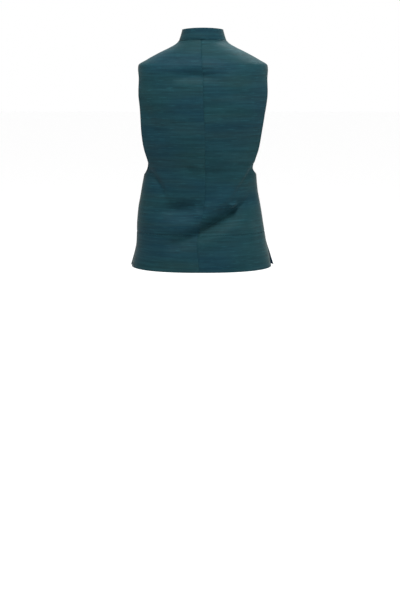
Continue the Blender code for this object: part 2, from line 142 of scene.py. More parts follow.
CREASES = [
    ("back", -0.150, -0.342, -0.123, -0.383, -0.084, -0.434, 0.0065, 0.012, -0.0066),
    ("back", -0.098, -0.453, -0.088, -0.457, -0.078, -0.454, 0.0064, 0.0055, 0.0118),
    ("back", -0.130, -0.444, -0.106, -0.463, -0.076, -0.479, 0.006, 0.006, -0.0042),
    ("back", -0.086, -0.473, -0.034, -0.507, 0.034, -0.541, 0.0112, 0.014, -0.0092),
    ("back", 0.062, -0.096, 0.018, -0.091, -0.030, -0.098, 0.008, 0.013, -0.0032),
    ("back", 0.092, -0.449, 0.064, -0.450, 0.024, -0.444, 0.014, 0.015, -0.0042),
    ("back", 0.158, -0.372, 0.140, -0.384, 0.122, -0.402, 0.005, 0.006, -0.0018),
    ("back", 0.020, -0.536, 0.060, -0.560, 0.092, -0.566, 0.012, 0.014, -0.0020),
    ("front", 0.150, -0.364, 0.114, -0.412, 0.060, -0.446, 0.006, 0.011, -0.0044),
    ("front", -0.150, -0.358, -0.118, -0.414, -0.066, -0.458, 0.006, 0.010, -0.0048),
    ("front", 0.122, -0.472, 0.082, -0.496, 0.042, -0.497, 0.009, 0.014, -0.0044),
    ("front", -0.126, -0.496, -0.086, -0.511, -0.048, -0.508, 0.008, 0.012, -0.0040),
    ("front", 0.148, -0.236, 0.130, -0.280, 0.094, -0.322, 0.009, 0.014, -0.0030),
    ("front", -0.146, -0.224, -0.126, -0.262, -0.098, -0.292, 0.009, 0.013, -0.0026),
]


def smooth_rows(columns, rows):
    """Functions of height, one for each column, that pass smoothly through the rows without overshooting."""
    heights = np.array([row[0] for row in rows])
    spans = np.diff(heights)

    def through(values):
        slopes = np.diff(values) / spans
        before, after = slopes[:-1], slopes[1:]
        level = before * after <= 0
        total = np.where(level, 1.0, before + after)
        between = np.where(level, 0.0, 2 * before * after / total)
        tangents = np.concatenate([[slopes[0]], between, [slopes[-1]]])

        def at(height):
            height = np.clip(height, heights[0], heights[-1])
            i = np.clip(np.searchsorted(heights, height, side="right") - 1, 0, len(spans) - 1)
            t = (height - heights[i]) / spans[i]
            rise = spans[i] * (t * (1 - t) ** 2 * tangents[i] - t * t * (1 - t) * tangents[i + 1])
            return values[i] + (values[i + 1] - values[i]) * t * t * (3 - 2 * t) + rise

        return at

    return {name: through(np.array([row[k] for row in rows])) for k, name in enumerate(columns)}


SECTION = smooth_rows(SECTION_COLUMNS, SECTIONS)
ARM = smooth_rows(ARMHOLE_COLUMNS, ARMHOLE)


def power(value, exponent):
    """A power that keeps its sign, for rounded rings."""
    return np.sign(value) * np.abs(value) ** exponent


def ring_points(height, angle, side):
    """Points of the sections at these heights, from angle 0 at the centre back to pi at the centre front."""
    exponent = 2 / SECTION["squareness"](height)
    facing = np.cos(angle)
    behind = facing > 0
    across = SECTION["half_width"](height) * power(np.sin(angle), exponent)
    reach = np.where(behind, SECTION["back"](height), SECTION["front"](height))
    tilt = np.where(
        behind,
        SECTION["rise"](height) * facing**2,
        -SECTION["drop"](height) * np.abs(facing) ** DROP_EXPONENT,
    )
    x = side * across + SECTION["sway"](height)
    return np.stack([x, reach * power(facing, exponent), height + tilt], axis=-1)


def angle_at_depth(height, depth, facing):
    """The angle at which the ring stands this far behind (facing 1) or before (facing -1) the side line."""
    reach = SECTION["back" if facing > 0 else "front"](height)
    return np.arccos(facing * (depth / reach) ** (SECTION["squareness"](height) / 2))


def angle_at_width(height, across):
    """The angle, near the centre back, at which the ring lies this far to its own side."""
    return np.arcsin(power(across / SECTION["half_width"](height), SECTION["squareness"](height) / 2))


def side_depth(height, facing):
    """How far a panel's outer edge stays from the side line: the armhole, the closed seam or the vent."""
    opened = np.clip((VENT_TOP - height) / (VENT_TOP - HEM), 0, 1) ** SLIT_GROWTH
    arm = ARM["back_edge" if facing > 0 else "front_edge"](height)
    return np.where(height >= UNDERARM, arm, VENT_OPEN / 2 * opened)


def row_heights():
    """Heights of the rows: even along the cloth, with fine rows at the hem line and at the edges."""
    fine = np.linspace(HEM, NECK, FINE_HEIGHTS)
    width, edge = SECTION["half_width"](fine), side_depth(fine, 1)
    steps = np.sqrt(np.diff(fine) ** 2 + np.diff(width) ** 2 + (ARMHOLE_WEIGHT * np.diff(edge)) ** 2)
    length = np.concatenate([[0], np.cumsum(steps)])
    rows = np.interp(np.linspace(0, length[-1], int(length[-1] / CELL) + 1), length, fine)
    for corner in (VENT_TOP, UNDERARM, SHOULDER_TIP):
        rows[np.argmin(np.abs(rows - corner))] = corner
    near_line = [HEM_LINE + MM * offset for offset in LINE_ROWS_MM]
    kept = rows[np.abs(rows - HEM_LINE) > LINE_CLEAR]
    return np.sort(np.concatenate([kept, near_line, [HEM + HEM_EDGE]]))


def fold_relief(face, x, z, table):
    """How far the folds lift or sink the cloth at each place."""
    relief = np.zeros_like(x)
    for row in table:
        fold = dict(zip(FOLD_COLUMNS, row))
        if fold["face"] != face:
            continue
        t = np.linspace(0, 1, FOLD_PLACES)
        middle_x = 2 * fold["x2"] - (fold["x1"] + fold["x3"]) / 2
        middle_z = 2 * fold["z2"] - (fold["z1"] + fold["z3"]) / 2
        path_x = (1 - t) ** 2 * fold["x1"] + 2 * t * (1 - t) * middle_x + t * t * fold["x3"]
        path_z = (1 - t) ** 2 * fold["z1"] + 2 * t * (1 - t) * middle_z + t * t * fold["z3"]
        fade = np.sin(math.pi * np.clip(t, FOLD_END, 1 - FOLD_END)) ** FOLD_FADE
        best = np.zeros_like(x)
        for k in range(len(t) - 1):
            run_x, run_z = path_x[k + 1] - path_x[k], path_z[k + 1] - path_z[k]
            along = ((x - path_x[k]) * run_x + (z - path_z[k]) * run_z) / (run_x**2 + run_z**2)
            along = np.clip(along, 0, 1)
            away_x, away_z = x - path_x[k] - along * run_x, z - path_z[k] - along * run_z
            away = np.hypot(away_x, away_z) + 1e-9  # never 0, so that it can divide
            up = 0.5 + 0.5 * away_z / away
            up = up * up * (3 - 2 * up)
            width = fold["below"] + (fold["above"] - fold["below"]) * up
            strength = fade[k] + along * (fade[k + 1] - fade[k])
            best = np.maximum(best, np.exp(-((away / width) ** 2)) * strength)
        relief += fold["depth"] * best
    return relief


def seam_ditch(face, heights, across):
    """How far the cloth is drawn in along its sewn edges: the centre back, the side seam and the shoulder."""
    heights = heights[:, None]
    width = across.max(axis=1, keepdims=True)
    sewn = (heights >= SHOULDER_TIP) | ((heights >= VENT_TOP) & (heights <= UNDERARM))
    ditch = np.where(sewn, np.exp(-(((width - across) / SEAM_DITCH_WIDTH) ** 2)), 0.0)
    if face == "back":
        ditch = np.maximum(ditch, np.exp(-((across / SEAM_DITCH_WIDTH) ** 2)))
    return SEAM_DITCH * ditch


# Each wave has its turns in a metre across and up the cloth, in radians, then its phase and its depth.
CLOTH_WAVES = [(9, 23, 0.4, 0.00035), (31, 14, 1.9, 0.00028), (17, 47, 4.1, 0.00022), (52, 38, 2.6, 0.00014)]
WAVE_SWING = 1.3  # how far the waves across swing to and fro on their way up


def cloth_life(u, v):
    """The slight unevenness of cloth that is worn: long shallow waves under a millimetre deep."""
    return sum(
        depth * np.sin(across * u + WAVE_SWING * np.sin(up * v) + phase) * np.cos(up * v + phase)
        for across, up, phase, depth in CLOTH_WAVES
    )


# The fronts close with the left over the right, so the right sinks by the wall and a fine gap beneath it.
OVERLAP = 0.018
LAP_GAP = 0.0009
LAP_MARGIN = 0.004  # the under front is at its full depth this far beyond the edge of the upper one
STEP_RUN = 0.022  # over this width the under front sinks to its full depth
VENT_FLARE = {1: 0.0035, -1: 0.0085}  # how far each front stands out at the foot of its vent
FLARE_REACH, FLARE_GROWTH = 0.03, 1.4


def surface(face, side, height, angle):
    """Points on the outside of a panel, and the way out of the cloth there."""
    point = ring_points(height, angle, side)
    along = ring_points(height, angle + SIDESTEP, side) - ring_points(height, angle - SIDESTEP, side)
    low, high = np.maximum(height - SIDESTEP, HEM), np.minimum(height + SIDESTEP, NECK)
    up = ring_points(high, angle, side) - ring_points(low, angle, side)
    normal = np.cross(up, along) * side
    normal /= np.linalg.norm(normal, axis=-1, keepdims=True)
    lift = fold_relief(face, point[..., 0], point[..., 2], FOLDS + CREASES)
    above_line = point[..., 2] - HEM_LINE
    groove = above_line / np.where(above_line > 0, HEM_GROOVE_ABOVE, HEM_GROOVE_BELOW)
    lift -= HEM_GROOVE * np.exp(-(groove**2))
    if face == "front":
        if side < 0:
            t = np.clip((point[..., 0] + OVERLAP + LAP_MARGIN + STEP_RUN) / STEP_RUN, 0, 1)
            lift -= (WALL + LAP_GAP) * t * t * (3 - 2 * t)
        opened = np.clip((VENT_TOP - height) / (VENT_TOP - HEM), 0, 1) ** FLARE_GROWTH
        lift += VENT_FLARE[side] * opened * np.exp(-((point[..., 1] / FLARE_REACH) ** 2))
    return point + normal * lift[..., None], normal


def panel_angles(face, side, heights, columns):
    """Angles for every row and column of a panel, at even distances along each row, and those distances."""
    facing = 1 if face == "back" else -1
    edge = angle_at_depth(heights, side_depth(heights, facing), facing)
    sway = side * SECTION["sway"](heights)
    if face == "back":
        start, end = angle_at_width(heights, side * SECTION["seam"](heights) - sway), edge
    else:
        start, end = edge, math.pi + angle_at_width(heights, sway + OVERLAP)
    share = np.linspace(0, 1, FINE_ACROSS)[None]
    fine = start[:, None] + (end - start)[:, None] * share
    points = ring_points(np.repeat(heights[:, None], share.size, axis=1), fine, side)
    steps = np.linalg.norm(np.diff(points, axis=1), axis=-1)
    length = np.concatenate([np.zeros((len(heights), 1)), np.cumsum(steps, axis=1)], axis=1)
    angles, distances = [], []
    for row in range(len(heights)):
        total = length[row, -1]
        inner = np.linspace(EDGE_STEPS[-1], total - EDGE_STEPS[-1], columns + 3 - 2 * len(EDGE_STEPS))[1:-1]
        wanted = np.concatenate([EDGE_STEPS, inner, total - np.array(EDGE_STEPS[::-1])])
        angles.append(np.interp(wanted, length[row], fine[row]))
        distances.append(wanted if face == "back" else length[row, -1] - wanted)
    return np.array(angles), np.array(distances)


def linear(hex_colour):
    """An sRGB hex colour as linear values."""
    parts = [int(hex_colour[i : i + 2], 16) / 255 for i in (1, 3, 5)]
    return [p / 12.92 if p <= 0.04045 else ((p + 0.055) / 1.055) ** 2.4 for p in parts] + [1.0]


def add_node(material, kind, settings=None, **links):
    """Adds a shader node with its settings. Each link gives one input a value or another node's output, and
    knows that input by its name, or by i and its number."""
    tree = material.node_tree
    node = tree.nodes.new(kind)
    for name, value in (settings or {}).items():
        setattr(node, name, value)
    for name, value in links.items():
        numbered = name[0] == "i" and name[1:].isdigit()
        socket = node.inputs[int(name[1:]) if numbered else name.replace("_", " ")]
        if isinstance(value, bpy.types.NodeSocket):
            tree.links.new(value, socket)
        else:
            socket.default_value = value
    return node


def new_material(name):
    """A material with its Principled shader."""
    material = bpy.data.materials.new(name)
    material.use_nodes = True
    return material, material.node_tree.nodes["Principled BSDF"]


# What the silk shows, layer over layer, in the sizes of real slubs. Each layer is noise drawn out to about
# this length along the weft and this thickness across it. Between the shares low and high of the noise it
# comes to its strength. The sixth stands for single warp threads, so it is long across the weft.
LAYER_COLUMNS = ("length_mm", "thick_mm", "seed", "detail", "low", "high", "strength", "colour", "raised_mm")
SILK_LAYERS = [
    (190, 90, 61.7, 1.0, 0.36, 0.64, 1.00, "#0a232c", 0.00),
    (240, 34, 84.2, 2.0, 0.44, 0.68, 0.32, "#192a2b", 0.00),
    (320, 13, 70.3, 2.0, 0.42, 0.66, 0.22, "#0b2127", 0.03),
    (170, 8, 3.1, 2.0, 0.38, 0.68, 0.26, "#18383f", 0.04),
    (64, 3.0, 8.7, 2.0, 0.45, 0.70, 0.26, "#091d23", 0.07),
    (1.5, 70, 41.0, 1.0, 0.50, 0.75, 0.22, "#0c2127", 0.03),
    (52, 1.7, 12.4, 1.0, 0.60, 0.74, 0.44, "#061418", 0.10),
    (36, 1.6, 27.9, 1.0, 0.61, 0.75, 0.34, "#1e474d", 0.16),
]
WEFT_PITCH, WARP_PITCH = 0.0011, 0.0009  # about twice the real pitch, which is too fine to show
WEAVE_RAISED_MM = 0.06
BAND_TURN, DIAGONAL_TURN = 20, 10  # radians that Blender's wave textures turn in one unit


def raw_silk():
    """Hand-loomed raw silk. Its weft is spun unevenly, so short thick slubs lie across the cloth, some darker
    and some lighter, and a blue weft crosses a greener warp. Its low dry lustre greys at the form's edges."""
    material, shader = new_material("slubbed raw silk")
    place = add_node(material, "ShaderNodeUVMap", {"uv_map": "cut"}).outputs[0]
    weft = add_node(
        material, "ShaderNodeTexWave", {"bands_direction": "Y"},
        Vector=place, Scale=2 * math.pi / BAND_TURN / WEFT_PITCH,
    )
    warp = add_node(
        material, "ShaderNodeTexWave", {"bands_direction": "X"},
        Vector=place, Scale=2 * math.pi / BAND_TURN / WARP_PITCH,
    )
    weave = add_node(
        material, "ShaderNodeMath", {"operation": "MULTIPLY"}, i0=weft.outputs["Fac"], i1=warp.outputs["Fac"]
    )
    raised = add_node(
        material, "ShaderNodeMath", {"operation": "MULTIPLY"}, i0=weave.outputs[0], i1=WEAVE_RAISED_MM
    )
    height = raised.outputs[0]
    colour = linear("#0c262a")
    for row in SILK_LAYERS:
        layer = dict(zip(LAYER_COLUMNS, row))
        drawn = add_node(
            material, "ShaderNodeMapping", Vector=place, Location=(0.0, 0.0, layer["seed"]),
            Scale=(1 / MM / layer["length_mm"], 1 / MM / layer["thick_mm"], 1.0),
        )
        noise = add_node(
            material, "ShaderNodeTexNoise",
            Vector=drawn.outputs[0], Scale=1.0, Detail=layer["detail"], Roughness=0.55,
        )
        amount = add_node(
            material, "ShaderNodeMapRange", {"interpolation_type": "SMOOTHSTEP"}, Value=noise.outputs[0],
            From_Min=layer["low"], From_Max=layer["high"], To_Max=layer["strength"],
        ).outputs[0]
        blend = add_node(
            material, "ShaderNodeMix", {"data_type": "RGBA"}, i0=amount, i6=colour, i7=linear(layer["colour"])
        )
        colour = blend.outputs[2]
        rise = add_node(
            material, "ShaderNodeMath", {"operation": "MULTIPLY_ADD"},
            i0=amount, i1=layer["raised_mm"], i2=height,
        )
        height = rise.outputs[0]
    material.node_tree.links.new(colour, shader.inputs["Base Color"])
    # The palest slubs, which are the last layer, lie smoother than the cloth around them.
    smoother = add_node(
        material, "ShaderNodeMapRange", Value=amount, From_Max=layer["strength"], To_Min=0.64, To_Max=0.52
    )
    material.node_tree.links.new(smoother.outputs[0], shader.inputs["Roughness"])
    shader.inputs["Specular IOR Level"].default_value = 0.03
    shader.inputs["Sheen Weight"].default_value = 0.07
    shader.inputs["Sheen Roughness"].default_value = 0.38
    shader.inputs["Sheen Tint"].default_value = linear("#b4b4a8")
    bump = add_node(material, "ShaderNodeBump", Strength=0.8, Distance=MM, Height=height)
    material.node_tree.links.new(bump.outputs[0], shader.inputs["Normal"])
    return material


TWILL_PITCH = 0.0012  # coarser than real twill, whose ribs are too fine to show


def lining_cloth():
    """Dark navy viscose twill lining, woven smooth, which shows only where the eye meets the inside."""
    material, shader = new_material("dark twill lining")
    place = add_node(material, "ShaderNodeUVMap", {"uv_map": "cut"}).outputs[0]
    noise = add_node(material, "ShaderNodeTexNoise", Vector=place, Scale=90.0, Detail=3.0)  # 11 mm across
    mix = add_node(
        material, "ShaderNodeMix", {"data_type": "RGBA"},
        i0=noise.outputs[0], i6=linear("#0c111d"), i7=linear("#131b2b"),
    )
    material.node_tree.links.new(mix.outputs[2], shader.inputs["Base Color"])
    ribs = add_node(
        material, "ShaderNodeTexWave", {"bands_direction": "DIAGONAL"},
        Vector=place, Scale=2 * math.pi / DIAGONAL_TURN / TWILL_PITCH,
    )
    bump = add_node(material, "ShaderNodeBump", Strength=0.25, Distance=0.0003, Height=ribs.outputs["Fac"])
    material.node_tree.links.new(bump.outputs[0], shader.inputs["Normal"])
    shader.inputs["Roughness"].default_value = 0.6
    shader.inputs["Specular IOR Level"].default_value = 0.0
    return material


def silk_thread():
    """Twisted silk thread, dyed to the cloth."""
    material, shader = new_material("teal silk thread")
    place = add_node(material, "ShaderNodeTexCoord").outputs["Object"]
    twist = add_node(material, "ShaderNodeTexNoise", Vector=place, Scale=2600.0, Detail=1.0)  # 0.4 mm long
    mix = add_node(
        material, "ShaderNodeMix", {"data_type": "RGBA"},
        i0=twist.outputs[0], i6=linear("#0a2228"), i7=linear("#173e45"),
    )
    material.node_tree.links.new(mix.outputs[2], shader.inputs["Base Color"])
    shader.inputs["Roughness"].default_value = 0.5
    shader.inputs["Specular IOR Level"].default_value = 0.06
    return material


silk, lining, thread = raw_silk(), lining_cloth(), silk_thread()


def closed_slab(columns, rows):
    """A flat closed slab of columns by rows cells. X and Y run 0 to 1 and Z is 0 outside, -1 inside."""
    bm = bmesh.new()
    bmesh.ops.create_grid(bm, x_segments=columns, y_segments=rows, size=0.5)
    bmesh.ops.translate(bm, verts=bm.verts, vec=(0.5, 0.5, 0.0))
    bmesh.ops.solidify(bm, geom=bm.faces[:], thickness=1.0)
    lowest = min(vert.co.z for vert in bm.verts)
    bmesh.ops.translate(bm, verts=bm.verts, vec=(0.0, 0.0, -1.0 - lowest))
    return bm


def bend_slab(bm, columns, rows, outer, way_out, cut, wall):
    """Bends a slab onto its outer points, gives it its wall and notes each corner's place on the flat cut."""
    uv = bm.loops.layers.uv.new("cut")
    for face in bm.faces:
        face.material_index = 1 if all(vert.co.z < -0.5 for vert in face.verts) else 0
        face.smooth = True
        for loop in face.loops:
            column, row = round(loop.vert.co.x * columns), round(loop.vert.co.y * rows)
            loop[uv].uv = cut[row, column]
    for vert in bm.verts:
        column, row = round(vert.co.x * columns), round(vert.co.y * rows)
        place = outer[row, column] + way_out[row, column] * wall * vert.co.z
        vert.co = Vector(place)
    bmesh.ops.recalc_face_normals(bm, faces=bm.faces[:])
    if bm.calc_volume(signed=True) < 0:
        bmesh.ops.reverse_faces(bm, faces=bm.faces[:])


def finish_piece(bm, name, materials, roll, node):
    """Makes the mesh a piece that stands for its node, with its edges rolled by this radius."""
    mesh = bpy.data.meshes.new(name)
    bm.to_mesh(mesh)
    bm.free()
    for material in materials:
        mesh.materials.append(material)
    piece = bpy.data.objects.new(name, mesh)
    bpy.context.scene.collection.objects.link(piece)
    if roll:
        bevel = piece.modifiers.new("rolled edges", "BEVEL")
        bevel.width, bevel.segments = roll, ROLL_STEPS
        bevel.limit_method, bevel.angle_limit = "ANGLE", ROLL_ANGLE
    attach(piece, "root")
    if node:
        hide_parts(node)
    return piece


THREAD_SIDES, THREAD_RINGS = 8, 6
THREAD_BLUNTNESS = 0.6  # below 1, a stitch keeps its thickness nearly to its ends


def thread_run(bm, start, end, radius, arch=0.0):
    """A short length of thread from start to end, lifted in the middle by arch along +Z of the piece."""
    start, end = Vector(start), Vector(end)
    way = end - start
    turn = way.to_track_quat("Z", "Y").to_matrix().to_4x4()
    place = Matrix.Translation((start + end) / 2) @ turn
    made = bmesh.ops.create_uvsphere(bm, u_segments=THREAD_SIDES, v_segments=THREAD_RINGS, radius=1.0)
    for vert in made["verts"]:
        reach = abs(vert.co.z) ** THREAD_BLUNTNESS * (1 if vert.co.z > 0 else -1)
        flat = Vector((vert.co.x * radius, vert.co.y * radius, reach * way.length / 2))
        vert.co = place @ flat
        vert.co.z += arch * (1 - reach**2)


def sew_line(bm, path, stitch, gap, radius):
    """Lays stitches of this length, with gaps between them, along a path of points."""
    steps = np.linalg.norm(np.diff(path, axis=0), axis=-1)
    length = np.concatenate([[0], np.cumsum(steps)])
    for start in np.arange(gap, length[-1] - stitch, stitch + gap):
        ends = [[float(np.interp(s, length, path[:, k])) for k in range(3)] for s in (start, start + stitch)]
        thread_run(bm, ends[0], ends[1], radius)


STITCH, STITCH_GAP, STITCH_RADIUS = 0.0032, 0.0010, 0.0004
STITCH_STAND = 0.4  # share of its radius by which a hem stitch's middle stands off the cloth


def finish_thread(bm, name):
    """Makes the thread of one seam a piece of its own."""
    for face in bm.faces:
        face.smooth = True
    return finish_piece(bm, name, [thread], 0, None)


def sew_panel(face, side, cut_shift):
    """Cuts, bends and finishes one back or front, and stitches its hem down. cut_shift is its place on the
    bolt of silk. Gives the piece, its outer points by row and column, and the heights of the rows."""
    heights = row_heights()
    columns = PANEL_COLUMNS
    angles, across = panel_angles(face, side, heights, columns)
    tall = np.repeat(heights[:, None], columns + 1, axis=1)
    outer, way_out = surface(face, side, tall, angles)
    climb = np.concatenate([[0], np.cumsum(np.linalg.norm(np.diff(outer[:, 2], axis=0), axis=-1))])
    cut_x = side * across + cut_shift[0]
    cut_y = np.repeat(climb[:, None], columns + 1, axis=1) + cut_shift[1]
    cut = np.stack([cut_x, cut_y], axis=-1)
    outer += way_out * (cloth_life(cut_x, cut_y) - seam_ditch(face, heights, across))[..., None]
    rows = len(heights) - 1
    bm = closed_slab(columns, rows)
    bend_slab(bm, columns, rows, outer, way_out, cut, WALL)
    node = f"{face}_{'left' if side > 0 else 'right'}"
    panel = finish_piece(bm, f"{node}_cloth", [silk, lining], PANEL_ROLL, node)
    row = int(np.argmin(np.abs(heights - HEM_LINE)))
    bm = bmesh.new()
    sew_line(bm, outer[row] + way_out[row] * STITCH_RADIUS * STITCH_STAND, STITCH, STITCH_GAP, STITCH_RADIUS)
    finish_thread(bm, f"{node}_hem_stitches")
    return panel, outer, heights


LEFT_BACK_ON_BOLT, RIGHT_BACK_ON_BOLT = (0.0, 0.0), (-0.30, 0.057)
back_left, left_outer, heights = sew_panel("back", 1, LEFT_BACK_ON_BOLT)
back_right, right_outer, heights = sew_panel("back", -1, RIGHT_BACK_ON_BOLT)


# The fronts. Two panels of the same silk and lining as the backs, sewn to them at the shoulders and sides.
# They lap at the centre, the left over the right, with the neck cut lower and the same vented side.
LEFT_FRONT_ON_BOLT, RIGHT_FRONT_ON_BOLT = (0.9, 0.021), (-1.2, 0.083)
front_left, front_left_outer, heights = sew_panel("front", 1, LEFT_FRONT_ON_BOLT)
front_right, front_right_outer, heights = sew_panel("front", -1, RIGHT_FRONT_ON_BOLT)


TACK_RADIUS, TACK_PITCH = 0.0005, 0.00064
TACK_ROWS = (-1.5, -0.5, 0.5, 1.5)  # the four threads of a tack, in pitches from its middle


def tack_vent(name, back, front):
    """A bar tack of four threads across the top of a vent, where the side seam ends."""
    row = int(np.argmin(np.abs(heights - VENT_TOP)))
    first, last = Vector(back[row, -len(EDGE_STEPS)]), Vector(front[row, len(EDGE_STEPS) - 1])
    bm = bmesh.new()
    for step in TACK_ROWS:
        drop = Vector((0, 0, step * TACK_PITCH))
        thread_run(bm, first + drop, last + drop, TACK_RADIUS)
    finish_thread(bm, name)


tack_vent("vent_tack_left", left_outer, front_left_outer)
tack_vent("vent_tack_right", right_outer, front_right_outer)


# The collar. A band of the same silk over stiff interlining, silk on both faces, sewn into the neck seam.
# Its upper front corners are rounded and its ends lie just apart.
COLLAR_WALL, COLLAR_ROLL = 0.003, 0.0011
STAND_RISE, COLLAR_FRONT_RISE = 0.031, 0.032
LEAN_SIDE, LEAN_BACK, LEAN_FRONT = 0.0095, 0.004, 0.010
COLLAR_FRONT_GAP, COLLAR_CORNER = 0.007, 0.020
COLLAR_CORNER_SHARE = 0.98  # how much of the quarter round is cut, so that the end keeps a short upright edge
COLLAR_CURVE = 0.25  # how much of the lean comes early, near the seam
COLLAR_COLUMNS, COLLAR_ROWS = 150, 12
COLLAR_BUNCHING = 0.035  # draws the columns towards the tight bends at the front ends and the back
COLLAR_CUT, COLLAR_ON_BOLT = (0.425, 0.034), (2.2, 0.4)
COLLAR_LAP, COLLAR_STAND_OUT = 0.0012, 0.0006  # how far the band reaches down over the neck edge, and off it
COLLAR_CREASE_X, COLLAR_CREASE_WIDTH, COLLAR_CREASE = -0.017, 0.0022, 0.0008  # a slight upright crease behind
COLLAR_FINE, COLLAR_SIDESTEP = 1201, 0.01  # places and steps from which lengths and the way out are found


def collar_points(angle, rise):
    """Points on the outside of the band, from angle -pi to pi, with 0 at the centre back."""
    side = np.where(angle < 0, -1.0, 1.0)
    base = ring_points(np.full_like(angle, NECK), np.abs(angle), side)
    facing = np.cos(angle)
    behind = facing > 0
    lean = LEAN_SIDE + (np.where(behind, LEAN_BACK, LEAN_FRONT) - LEAN_SIDE) * facing**2
    full = STAND_RISE + np.where(behind, 0.0, (COLLAR_FRONT_RISE - STAND_RISE) * facing**2)
    inward = base * [1, 1, 0] - [float(SECTION["sway"](NECK)), 0, 0]
    inward[..., 2] = 0
    inward /= np.linalg.norm(inward, axis=-1, keepdims=True)
    curve = rise * (1 + COLLAR_CURVE * (1 - rise))
    raised = base - inward * (lean * curve)[..., None]
    raised[..., 2] += full * rise
    return raised


def sew_collar():
    """Bends the band round the neck, rounds its front ends and finishes it in silk on both faces."""
    columns, rows = COLLAR_COLUMNS, COLLAR_ROWS
    fine = np.linspace(-math.pi, math.pi, COLLAR_FINE)
    along = np.linalg.norm(np.diff(collar_points(fine, np.zeros_like(fine)), axis=0), axis=-1)
    length = np.concatenate([[0], np.cumsum(along)])
    first, last = COLLAR_FRONT_GAP / 2, length[-1] - COLLAR_FRONT_GAP / 2
    t = np.linspace(0, 1, columns + 1)
    place = first + (last - first) * (t - COLLAR_BUNCHING * np.sin(4 * math.pi * t) / 2)
    angle = np.interp(place, length, fine)
    short = np.maximum(COLLAR_CORNER - np.minimum(place - first, last - place), 0)
    corner = np.sqrt(COLLAR_CORNER**2 - short**2 * COLLAR_CORNER_SHARE)
    tall = 1 - (COLLAR_CORNER - corner) / COLLAR_FRONT_RISE
    level = np.linspace(0, 1, rows + 1)[:, None]
    rise = tall[None] * level - COLLAR_LAP / STAND_RISE * (1 - level)
    angles = np.repeat(angle[None], rows + 1, axis=0)
    outer = collar_points(angles, rise)
    around = collar_points(angles + COLLAR_SIDESTEP, rise) - collar_points(angles - COLLAR_SIDESTEP, rise)
    above, below = np.minimum(rise + COLLAR_SIDESTEP, 1), np.maximum(rise - COLLAR_SIDESTEP, 0)
    up = collar_points(angles, above) - collar_points(angles, below)
    way_out = np.cross(up, around)
    way_out /= np.linalg.norm(way_out, axis=-1, keepdims=True)
    way_out[..., 2] *= level  # the foot of the band keeps a level edge
    way_out /= np.linalg.norm(way_out, axis=-1, keepdims=True)
    crease = np.exp(-(((outer[..., 0] - COLLAR_CREASE_X) / COLLAR_CREASE_WIDTH) ** 2)) * (outer[..., 1] > 0)
    outer += way_out * (COLLAR_STAND_OUT - COLLAR_CREASE * crease)[..., None]
    cut_x = np.repeat(place[None], rows + 1, axis=0) + COLLAR_ON_BOLT[0]
    cut = np.stack([cut_x, rise * STAND_RISE + COLLAR_ON_BOLT[1]], axis=-1)
    bm = closed_slab(columns, rows)
    bend_slab(bm, columns, rows, outer, way_out, cut, COLLAR_WALL)
    for face in bm.faces:
        face.material_index = 0
    return finish_piece(bm, "collar_band", [silk], COLLAR_ROLL, "collar")


collar = sew_collar()


# The buttons. Discs of polished dark horn with a dished face and four holes, turned on a lathe and sewn on
# with a cross of silk thread. Each closes over a hand-worked buttonhole in the left front.
BUTTON_THICKNESS, BUTTON_SIDES = 0.0036, 40
BUTTON_STAND = 0.00035  # how far the thread holds a button off the front
RIM_ANGLE = math.radians(35)  # edges of the horn sharper than this stay crisp
HOLE_RADIUS, HOLE_OFFSET, HOLE_SIDES = 0.00085, 0.0017, 14
# The thread's cross: its thickness, half the way between two strands, its height and the rise of its middle.
CROSS_RADIUS, CROSS_SPREAD, CROSS_TOP, CROSS_ARCH = 0.00042, 0.0003, 0.0026, 0.0004
SLIT_START, SLIT_LENGTH = -0.0025, 0.021  # the buttonhole's slit starts just past the button's middle
SLIT_STITCHES, SLIT_STITCH_RADIUS = 116, 0.00036
SLIT_NEAR, SLIT_FAR, SLIT_STAND = 0.0002, 0.0013, 0.0002  # how far a stitch's ends lie from slit and cloth
SLIT_LIPS = 1.5  # above 1, the stitches stand along straight lips and turn only round the ends
SLIT_SPOTS, FRONT_LEVELS = 5, 1600  # places measured along the slit and up the front


def horn():
    """Polished buffalo horn: nearly black, with faint brown streaks along the grain and a soft gloss."""
    material, shader = new_material("polished dark horn")
    place = add_node(material, "ShaderNodeTexCoord").outputs["Object"]
    # Streaks about 1 mm thick and 6 mm long.
    stretched = add_node(material, "ShaderNodeMapping", Vector=place, Scale=(900, 900, 160)).outputs[0]
    grain = add_node(material, "ShaderNodeTexNoise", Vector=stretched, Scale=1.0, Detail=3.0)
    mix = add_node(
        material, "ShaderNodeMix", {"data_type": "RGBA"},
        i0=grain.outputs[0], i6=linear("#0e0c0b"), i7=linear("#2a201a"),
    )
    material.node_tree.links.new(mix.outputs[2], shader.inputs["Base Color"])
    shader.inputs["Roughness"].default_value = 0.3
    shader.inputs["Specular IOR Level"].default_value = 0.16
    shader.inputs["Coat Weight"].default_value = 0.06
    shader.inputs["Coat Roughness"].default_value = 0.12
    return material


horn_material = horn()


